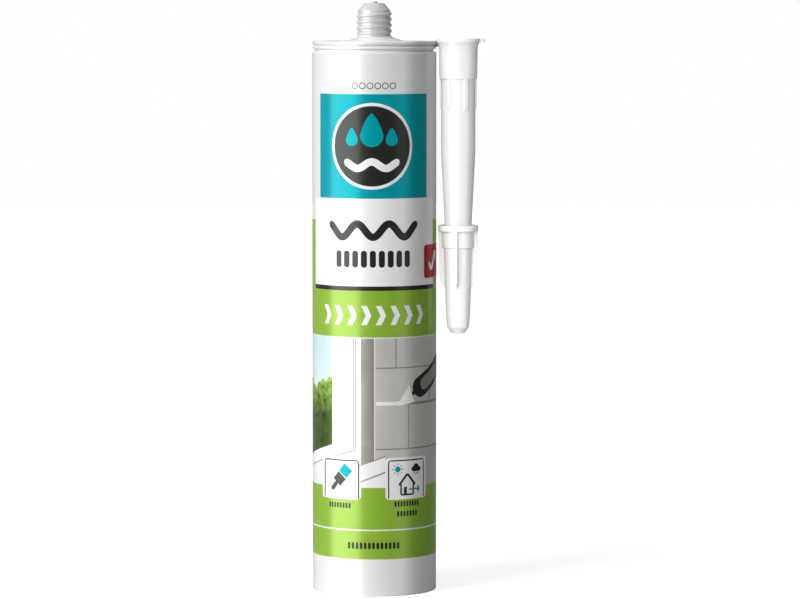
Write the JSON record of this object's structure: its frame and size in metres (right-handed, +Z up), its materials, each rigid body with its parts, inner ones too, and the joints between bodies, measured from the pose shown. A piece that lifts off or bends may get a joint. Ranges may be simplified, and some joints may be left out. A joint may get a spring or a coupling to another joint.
{
  "type": "caulk tube",
  "caption": "Standing plastic sealant cartridge with a closed threaded nose, a sliding plunger in its open rear end, and a spare nozzle with a pull-off cap glued beside it.",
  "frame": {"origin": "centre of the barrel's open rear end, in the plane that it stands on", "axes": "+Z up along the barrel to the nose, -Y through the middle of the front print, +X towards the spare nozzle"},
  "size_m": [0.0686, 0.0499, 0.2338],
  "materials": {
    "barrel_hdpe": "satin white HDPE",
    "paste": "smooth wet paste",
    "plunger_ldpe": "milky LDPE",
    "nozzle_hdpe": "satin white HDPE",
    "cap_ldpe": "satin white LDPE",
    "hot_melt": "glossy translucent hot-melt glue",
    "green_ink": "varnished print",
    "teal_ink": "varnished print",
    "charcoal_ink": "varnished print",
    "red_ink": "varnished print",
    "white_ink": "varnished print",
    "sky_ink": "varnished print",
    "leaf_ink": "varnished print",
    "pale_grey_ink": "varnished print",
    "warm_grey_ink": "varnished print"
  },
  "bodies": {
    "cartridge": {"barrel": "barrel_hdpe", "sealant": "paste", "nozzle": "nozzle_hdpe", "glue_dot": "hot_melt", "print_green": "green_ink", "print_teal": "teal_ink", "print_charcoal": "charcoal_ink", "print_red": "red_ink", "print_white": "white_ink", "print_sky": "sky_ink", "print_leaf": "leaf_ink", "print_pale_grey": "pale_grey_ink", "print_warm_grey": "warm_grey_ink"},
    "piston": {"plunger": "plunger_ldpe"},
    "nozzle_cap": {"cap": "cap_ldpe"}
  },
  "joints": [
    {"name": "plunger_slide", "type": "slide", "parent": "cartridge", "child": "piston", "axis": [0, 0, 1], "range_m": [0, 0.18], "deforming": ["sealant"]},
    {"name": "cap_slide", "type": "slide", "parent": "cartridge", "child": "nozzle_cap", "axis": [0, 0, -1], "range_m": [0, 0.045]}
  ]
}
